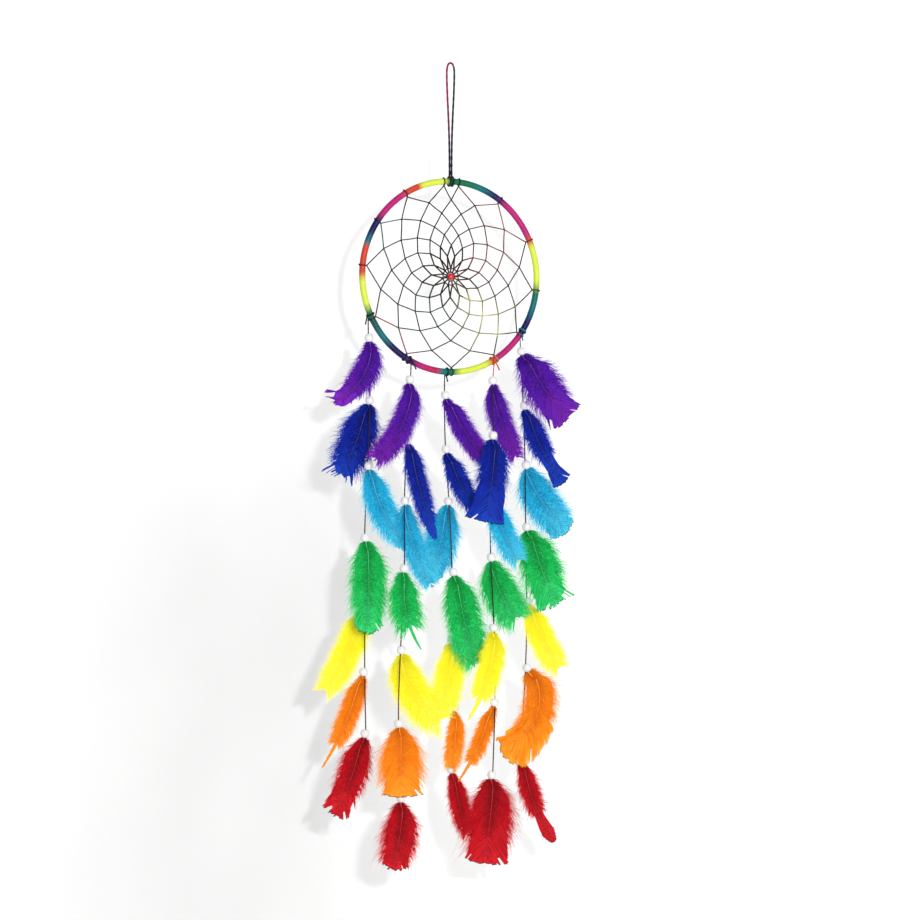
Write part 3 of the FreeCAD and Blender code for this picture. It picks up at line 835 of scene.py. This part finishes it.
def strand_cord(number, strand, material):
    body = f"strand_{number}"
    points = [strand_top(strand) - Vector((0, 0, CORD_START * MM))]
    for place, shape in zip(bead_places(strand), strand["feathers"]):
        points.append(place - Vector((CORD_BESIDE * MM * leaves_to(shape), 0, 0)))
    points.append(points[-1] + Vector((0, 0, -CORD_END * MM)))
    names = body, f"{body}_cord", "strand_cord"
    twisted_cord(f"{body}_line", points, STRAND_DIAMETER, material, *names, "bare")


def strand_beads(number, strand, material):
    made = Builder()
    rng = random.Random(40 + number)
    for k, place in enumerate(bead_places(strand)):
        axis = Vector((rng.uniform(-0.1, 0.1), rng.uniform(-0.12, 0.12), 1)).normalized()
        uv = k / len(COLOURS), 0.5
        bead_mesh(made, place, axis, BEAD_RADIUS, BEAD_HALF_HEIGHT, BEAD_BORE_RADIUS, uv)
    body = f"strand_{number}"
    made.make(f"{body}_white_beads", [material], body, f"{body}_beads")


# ---- feathers ----

# How each kind of feather is grown: the down's width beside the feather's; where the down ends
# and the smooth vane starts, as shares of the length; the vane's width where it starts, beside
# its width at the tip; how rounded its end is, with 0 for a straight cut; how much the barbs' ends
# differ; how many barbs clump into one finger of the end; the number of splits in the vane, with
# the angles they gape by; and how much wider its side towards -X is.
KIND_FACTS = "down down_end vane_from neck round ragged clump splits gape lopsided".split()
KINDS = {
    "fan": (1.0, 0.76, 0.42, 0.8, 0.10, 0.12, 4, 1, (2, 6), 0.0),
    "wide": (1.0, 0.68, 0.36, 0.78, 0.05, 0.08, 5, 2, (1, 5), 0.0),
    "block": (0.76, 0.60, 0.34, 0.6, 0.02, 0.05, 6, 2, (2, 5), 0.2),
    "split": (1.0, 0.68, 0.40, 0.78, 0.05, 0.12, 5, 3, (5, 12), 0.1),
    "comb": (1.0, 0.76, 0.42, 0.9, 0.02, 0.7, 5, 4, (5, 12), 0.1),
    "fingers": (1.0, 0.60, 0.42, 1.0, 0.03, 0.8, 7, 3, (8, 16), 0.1),
    "plume": (1.0, 0.93, 0.45, 1.0, 0.3, 0.30, 2, 0, (0, 0), 0.0),
    "strap": (1.0, 0.80, 0.48, 1.15, 0.12, 0.08, 2, 0, (0, 0), 0.0),
    "paddle": (1.0, 0.60, 0.54, 0.35, 0.04, 0.04, 3, 1, (2, 5), 0.0),
    "club": (1.0, 0.58, 0.5, 0.62, 0.14, 0.02, 3, 0, (0, 0), 0.0),
    "wisp": (1.0, 0.70, 0.5, 1.8, 0.4, 0.08, 2, 0, (0, 0), 0.0),
    "hook": (1.0, 0.66, 0.52, 1.6, 0.5, 0.03, 2, 0, (0, 0), 0.0),
}


BEAD_EXIT = 4.5  # where a quill starts to bend from its bead to its layer
BARB_GAP = 0.6  # between the vane's barbs
QUILL_RADIUS, SHAFT_RADIUS, SHAFT_END_RADIUS = 0.62, 0.46, 0.08


class Shaft:
    """A feather's middle line: the arc that part.py gives it, with the bend from the bead to the
    vane's layer and a slight curl out of its plane."""

    def __init__(self, base, shape, curl):
        lean, bend, self.length, self.width, self.tip_width, self.layer = shape[:6]
        self.base = base
        self.behind = 1 if self.layer > 0 else -1
        self.total = radians(bend)
        self.start = radians(lean) - self.total / 2
        self.curl = curl
        self.beside_bead = QUILL_BESIDE * leaves_to(shape)

    def heading(self, share):
        return self.start + self.total * share

    def place(self, share):
        """The point of the shaft at a share of its length, in metres."""
        radius = self.length / self.total
        turned = self.heading(share)
        x = radius * (cos(self.start) - cos(turned))
        z = radius * (sin(self.start) - sin(turned))
        along = share * self.length
        settled = smooth_step(BEAD_EXIT, VANE_START + 2, along)
        x = x * settled + self.beside_bead * (1 - settled)
        y = self.layer * settled + self.curl * share**2
        return self.base + Vector((x, y, z)) * MM

    def directions(self, share, side):
        """Out from the shaft towards a side, and forward along it."""
        turned = self.heading(share)
        across = Vector((cos(turned), 0, sin(turned)))
        return across * side, Vector((sin(turned), 0, -cos(turned)))


def ribbon(made, points, widths, facing, uvs, slot=0):
    """A flat barb along the points, lying across the facing direction."""
    rows, uv_rows = [], []
    for n, point in enumerate(points):
        ahead = points[min(n + 1, len(points) - 1)] - points[max(n - 1, 0)]
        side = ahead.cross(facing).normalized() * widths[n] / 2
        rows.append([point - side, point + side])
        uv_rows.append([uvs[n], uvs[n]])
    made.grid(rows, uv_rows, slot)


def down_reach(along, shaft, kind):
    """How far the down stands out from the shaft, from 0 to 1, so many mm along the feather."""
    rise = kind["down"] * (0.42 + 0.58 * smooth_step(3, 18, along))
    share = along / shaft.length
    return rise * (1 - 0.45 * smooth_step(0.65 * kind["down_end"], kind["down_end"] + 0.1, share))


# The down's barbs, first the close ones and then the fine loose ones: how many grow in a mm, how
# far they reach beside the down's width (and every seventh one), their angle to the shaft and
# how much larger it is near the bead, their width in mm, how much of it they lose, and their lift.
DOWN = [
    dict(per_mm=5.5, reach=(0.6, 0.94), seventh=(0.6, 0.94), splay=(46, 68), near_bead=18,
         width=(0.8, 1.4), taper=0.76, lift=1.1),
    dict(per_mm=11.0, reach=(0.84, 1.08), seventh=(1.08, 1.32), splay=(50, 84), near_bead=10,
         width=(0.2, 0.42), taper=0.7, lift=2.2),
]
DOWN_FROM = 4.0


def grow_down(made, shaft, kind, rng, own):
    """Soft barbs along the lower shaft, from both sides."""
    first = DOWN_FROM / shaft.length
    steps = 5
    count = round(kind["down_end"] * shaft.length * own["per_mm"])
    for n in range(count):
        share = first + (kind["down_end"] - first) * ((n + rng.random()) / count) ** 1.12
        side = 1 if n % 2 else -1
        reach = shaft.width / 2 * down_reach(share * shaft.length, shaft, kind)
        outward = 1 - smooth_step(4, 22, share * shaft.length)
        reach *= rng.uniform(*own["reach" if n % 7 else "seventh"])
        splay = radians(rng.uniform(*own["splay"]) + own["near_bead"] * outward)
        width = rng.uniform(*own["width"])
        droop = radians(rng.uniform(6, 36) + 16 * outward)
        length = reach / sin(splay - droop * 0.45)
        across, forward = shaft.directions(share, side)
        lift = rng.gauss(0, 1.0) * own["lift"]
        wave, phase = rng.uniform(0.05, 0.35), rng.uniform(0, 2 * pi)
        own_dye = rng.uniform(-0.06, 0.06)
        points, widths, uvs = [], [], []
        spot = shaft.place(share)
        for k in range(steps + 1):
            t = k / steps
            points.append(spot + Vector((0, lift * t**1.3 * MM, 0)))
            widths.append(width * MM * (1 - own["taper"] * t**2.2))
            uvs.append((min(max(share + own_dye + 0.1 * t, 0.02), 0.9), 0.04 + 0.86 * t))
            heading = splay - droop * t + wave * sin(6 * t + phase)
            spot = spot + (across * sin(heading) + forward * cos(heading)) * (length / steps) * MM
        facing = Vector((rng.uniform(-0.55, 0.55), -1, rng.uniform(-0.55, 0.55))).normalized()
        ribbon(made, points, widths, facing, uvs)


def split_turn(share, splits):
    """How far the splits turn a barb: those before a split lie out, and those after it in."""
    turn = 0.0
    for at, angle in splits:
        if share < at:
            turn += angle * smooth_step(at - 0.11, at, share)
        else:
            turn -= 0.6 * angle * (1 - smooth_step(at, at + 0.09, share))
    return turn


SHADED_RIM = 2.2  # how much of a cut barb's end gets the painted shade of the cut rim, in mm
AT_EDGE = 0.05  # a barb with less room than this is at the cut edge, in mm
LAST_ROOT = 0.992  # where the vane's last barbs leave the shaft, as a share of its length


def grow_vane(made, shaft, kind, rng, count):
    """The smooth vane: stiff barbs that lie together, cut off along the tip's edge."""
    steps = 6
    tip_half = shaft.tip_width / 2
    rooted = LAST_ROOT - kind["vane_from"]
    spacing = rooted * shaft.length / (count - 1)
    camber = rng.uniform(0.6, 1.4) * shaft.behind
    for side in (1, -1):
        splits = []
        for _ in range((kind["splits"] + (side > 0)) // 2):
            splits.append((rng.uniform(0.6, 0.88), radians(rng.uniform(*kind["gape"]))))
        fingers = [1 - kind["ragged"] * rng.random() for _ in range(count)]
        for n in range(count):
            share = kind["vane_from"] + rooted * n / (count - 1)
            grown = smooth_step(kind["vane_from"], 0.78, share)
            half = tip_half * (kind["neck"] + (1 - kind["neck"]) * grown) * (1 - side * kind["lopsided"])
            splay = max(radians(38), atan2(half, 0.28 * shaft.length))
            length = half / sin(0.875 * splay)
            splay += split_turn(share, splits) - radians(8) * smooth_step(0.85, 1.0, share)
            finger = fingers[n // kind["clump"]] * rng.uniform(0.97, 1.0)
            whole = min(length * finger, (1 - share) * shaft.length / cos(0.875 * splay))
            beside = (n % kind["clump"] - (kind["clump"] - 1) / 2) * spacing
            gather = beside * min(1.3 * kind["ragged"], 0.95)
            across, forward = shaft.directions(share, side)
            points, widths, uvs = [], [], []
            spot = shaft.place(share)
            gone, out = 0.0, 0.0
            for k in range(steps + 2):
                t = min(k / steps, 1.0)
                edge = 1.0 - kind["round"] * (out / tip_half) ** 2 - (1 - finger) * 0.3
                room = (edge - share) * shaft.length - gone
                cut = room < AT_EDGE
                in_shaded_rim = room <= SHADED_RIM + AT_EDGE
                drawn = min(length * finger * t / whole, 1.0) ** 1.5
                away = Vector((0, camber * (out / 10) ** 2, 0)) - forward * gather * drawn
                points.append(spot + away * MM)
                widths.append((0.95 - 0.4 * t**3) * MM)
                # Barbs whose end lies in the rim reach the painted shade of the cut rim there.
                tone = 0.9 if in_shaded_rim else 0.25 + 0.45 * t
                uvs.append((share + 0.012 * side, 1.0 if cut else tone))
                if cut or (k >= steps and not in_shaded_rim):
                    break
                heading = splay * (1 - 0.25 * t)
                room -= 0 if in_shaded_rim else SHADED_RIM
                step = min(length / steps * finger, room / cos(heading))
                spot = spot + (across * sin(heading) + forward * cos(heading)) * step * MM
                gone += step * cos(heading)
                out += step * sin(heading)
            if len(points) > 1:
                facing = Vector((rng.uniform(-0.1, 0.1), -1, rng.uniform(-0.1, 0.1))).normalized()
                ribbon(made, points, widths, facing, uvs)


BED_FROM, BED_TO = 5.0, 0.9  # the bed starts so many mm along the shaft and ends at this share


def grow_bed(made, shaft, kind):
    """The barbs' close-packed roots: a thin sheet beside the shaft, well inside the edge."""
    columns, steps = 5, 40
    first = BED_FROM / shaft.length
    for side in (1, -1):
        rows, uv_rows = [], []
        for n in range(steps + 1):
            share = first + (BED_TO - first) * n / steps
            down = shaft.width / 2 * down_reach(share * shaft.length, shaft, kind)
            settled = smooth_step(kind["down_end"] - 0.2, kind["down_end"], share)
            reach = 0.68 * (down + (shaft.tip_width / 2 - down) * settled)
            reach *= 1 - 0.5 * smooth_step(0.78, BED_TO, share)
            across, forward = shaft.directions(share, side)
            row, uv_row = [], []
            for c in range(columns):
                t = c / (columns - 1)
                away = across * reach * t + forward * reach * t * 0.45
                away += Vector((0, 0.25 * shaft.behind * t, 0))
                row.append(shaft.place(share) + away * MM)
                uv_row.append((min(share + 0.05 * t, BED_TO), 0.05 + 0.55 * t))
            rows.append(row)
            uv_rows.append(uv_row)
        made.grid(rows, uv_rows)


def grow_shaft(made, shaft):
    """The quill in the bead and the shaft, tapering to the tip."""
    top = [shaft.base + Vector((shaft.beside_bead, 0, z)) * MM for z in (2.0, -1.0, -3.5)]
    first = BED_FROM / shaft.length
    line = top + [shaft.place(first + (0.97 - first) * n / 22) for n in range(23)]
    thinning = SHAFT_RADIUS - SHAFT_END_RADIUS
    radii = [QUILL_RADIUS * MM] * 4
    radii += [(SHAFT_RADIUS - thinning * (n / 21) ** 0.45) * MM for n in range(22)]
    made.tube(line, radii, 7, slot=1)


def feather(number, colour, place, shape, materials):
    kind = dict(zip(KIND_FACTS, KINDS[shape[6]]))
    rng = random.Random(f"{number}{colour}")
    layer = shape[5]
    towards = -1 if layer < 0 else 1
    curl = -rng.uniform(0.0, 2.5) if layer == FAR else towards * rng.uniform(0.5, 4.0)
    shaft = Shaft(place, shape, curl)
    made = Builder()
    grow_shaft(made, shaft)
    grow_bed(made, shaft, kind)
    grow_vane(made, shaft, kind, rng, round((1 - kind["vane_from"]) * shaft.length / BARB_GAP))
    for own in DOWN:
        grow_down(made, shaft, kind, rng, own)
    body = f"strand_{number}"
    node, slot = f"{body}_{colour}_feather", f"{colour}_feather"
    made.make(f"{body}_{colour}_plume", materials, body, node)


# ---- stage ----

AZIMUTH = radians(-24)
TOWARDS_CAMERA = Vector((sin(AZIMUTH), -cos(AZIMUTH), 0))
RIGHT = Vector((cos(AZIMUTH), sin(AZIMUTH), 0))
PICTURE_CENTRE = RIGHT * 9.6 * MM + Vector((0, 0, -402 * MM))
PICTURE_SIDE = 934 * MM
CAMERA_DISTANCE = 3.0
WALL_GAP = 0.72  # clear of the strands at every pose
FLOOR_Z = -1.05


def stage_material(name, colour, glow, one_sided):
    material, tree, shader = node_tree(name)
    shade = ramp(tree, noise(tree, 3.0), [(0.3, [c * 0.985 for c in colour]), (0.7, colour)])
    glowing = {"Emission Color": (1, 1, 1, 1), "Emission Strength": glow}
    feed(shader, {"Base Color": shade, "Roughness": 0.9, **glowing})
    if one_sided:
        back = add(tree, "NewGeometry", {}).outputs["Backfacing"]
        mix_shaders(tree, back, shader, add(tree, "BsdfTransparent", {}))
    return material


def panel(name, middle, across, up, half_width, half_height, material):
    mesh = bpy.data.meshes.new(name)
    signs = [(-1, -1), (1, -1), (1, 1), (-1, 1)]
    corners = [middle + across * a * half_width + up * b * half_height for a, b in signs]
    mesh.from_pydata(corners, [], [(0, 1, 2, 3)])
    mesh.materials.append(material)
    new_object(name, mesh)


def lamp(name, place, aim, size, power):
    light = bpy.data.lights.new(name, "AREA")
    light.shape = "DISK"
    light.size = size
    light.energy = power
    made = new_object(name, light)
    made.location = place
    made.rotation_euler = (aim - place).to_track_quat("-Z", "Y").to_euler()


def build_stage():
    up = Vector((0, 0, 1))
    behind = PICTURE_CENTRE - TOWARDS_CAMERA * WALL_GAP
    wall = stage_material("pale_wall", (0.93, 0.93, 0.93), 0.09, True)
    panel("wall", behind, RIGHT, up, 2.4, 1.6, wall)
    floor = stage_material("pale_floor", (0.9, 0.9, 0.9), 0.0, False)
    middle = Vector((0, 0, FLOOR_Z))
    panel("floor", middle, Vector((1, 0, 0)), Vector((0, 1, 0)), 4, 4, floor)

    world = bpy.data.worlds.new("studio")
    world.use_nodes = True
    feed(world.node_tree.nodes["Background"], {"Color": (1, 1, 1, 1), "Strength": 0.48})
    scene = bpy.context.scene
    scene.world = world

    aim = PICTURE_CENTRE
    lamp("flash", aim + TOWARDS_CAMERA * 3.0 + RIGHT * 0.11 + up * 0.08, aim, 0.03, 30)
    lamp("key", aim + TOWARDS_CAMERA * 2.1 + RIGHT * 0.8 + up * 0.4, aim, 0.7, 28)

    camera = bpy.data.cameras.new("camera")
    camera.sensor_width = 36
    camera.lens = camera.sensor_width * CAMERA_DISTANCE / PICTURE_SIDE
    camera.clip_end = 50
    made = new_object("camera", camera)
    made.location = PICTURE_CENTRE + TOWARDS_CAMERA * CAMERA_DISTANCE
    made.rotation_euler = (-TOWARDS_CAMERA).to_track_quat("-Z", "Y").to_euler()
    scene.camera = made
    scene.view_settings.view_transform = "Standard"


# ---- the whole ----

steel = steel_material()
for slot_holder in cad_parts["hoop_core"].material_slots:
    slot_holder.material = steel

hoop_wrap(wrap_material())
net(net_material())
centre_bead(bead_material("red_plastic", (0.62, 0.012, 0.02), 0.12, 0.3))

hanger_stops = [
    (0.0, (0.003, 0.003, 0.016)), (0.16, (0.002, 0.003, 0.012)), (0.26, (0.002, 0.005, 0.008)),
    (0.36, (0.001, 0.018, 0.014)), (0.45, (0.001, 0.045, 0.035)), (0.53, (0.26, 0.010, 0.05)),
    (0.66, (0.22, 0.006, 0.06)), (0.78, (0.10, 0.004, 0.05)), (0.85, (0.012, 0.003, 0.035)),
    (1.0, (0.003, 0.003, 0.016)),
]
hanger_cord(dyed_cord_material("hanger_dye", hanger_stops))
knot_stops = [(0.0, BLACK), (0.5, (0.004, 0.03, 0.025)), (1.0, BLACK)]
hanger_knot(dyed_cord_material("knot_dye", knot_stops))

# The strands' dyes: at the hitch, and then from top to bottom.
STRAND_DYES = [
    (BLACK, [NAVY, BLACK, (0.03, 0.02, 0.014), BLACK, BROWN, BLACK]),
    (BLACK, [BROWN, NAVY, BLACK, (0.12, 0.02, 0.014), BLACK]),
    ((0.004, 0.03, 0.026), [BLACK, (0.06, 0.02, 0.03), BLACK, BROWN, BLACK]),
    ((0.55, 0.07, 0.01), [BLACK, NAVY, BLACK, BLACK, BROWN]),
    (TEAL, [NAVY, BLACK, BLACK, BROWN, BLACK]),
]
FEATHER_LOOKS = {colour: [feather_material(colour), quill_material(colour)] for colour in COLOURS}
white_look = bead_material("white_plastic", (0.72, 0.71, 0.71), 0.08, 0.22)
for number, (strand, (hitch_dye, dyes)) in enumerate(zip(STRANDS, STRAND_DYES), 1):
    stops = [(0.0, hitch_dye), (0.025, hitch_dye)]
    stops += [(0.045 + 0.955 * n / (len(dyes) - 1), dye) for n, dye in enumerate(dyes)]
    cord_look = dyed_cord_material(f"strand_{number}_dye", stops)
    strand_hitch(number, strand, cord_look)
    strand_cord(number, strand, cord_look)
    strand_beads(number, strand, white_look)
    for colour, place, shape in zip(COLOURS, bead_places(strand), strand["feathers"]):
        feather(number, colour, place, shape, FEATHER_LOOKS[colour])

build_stage()
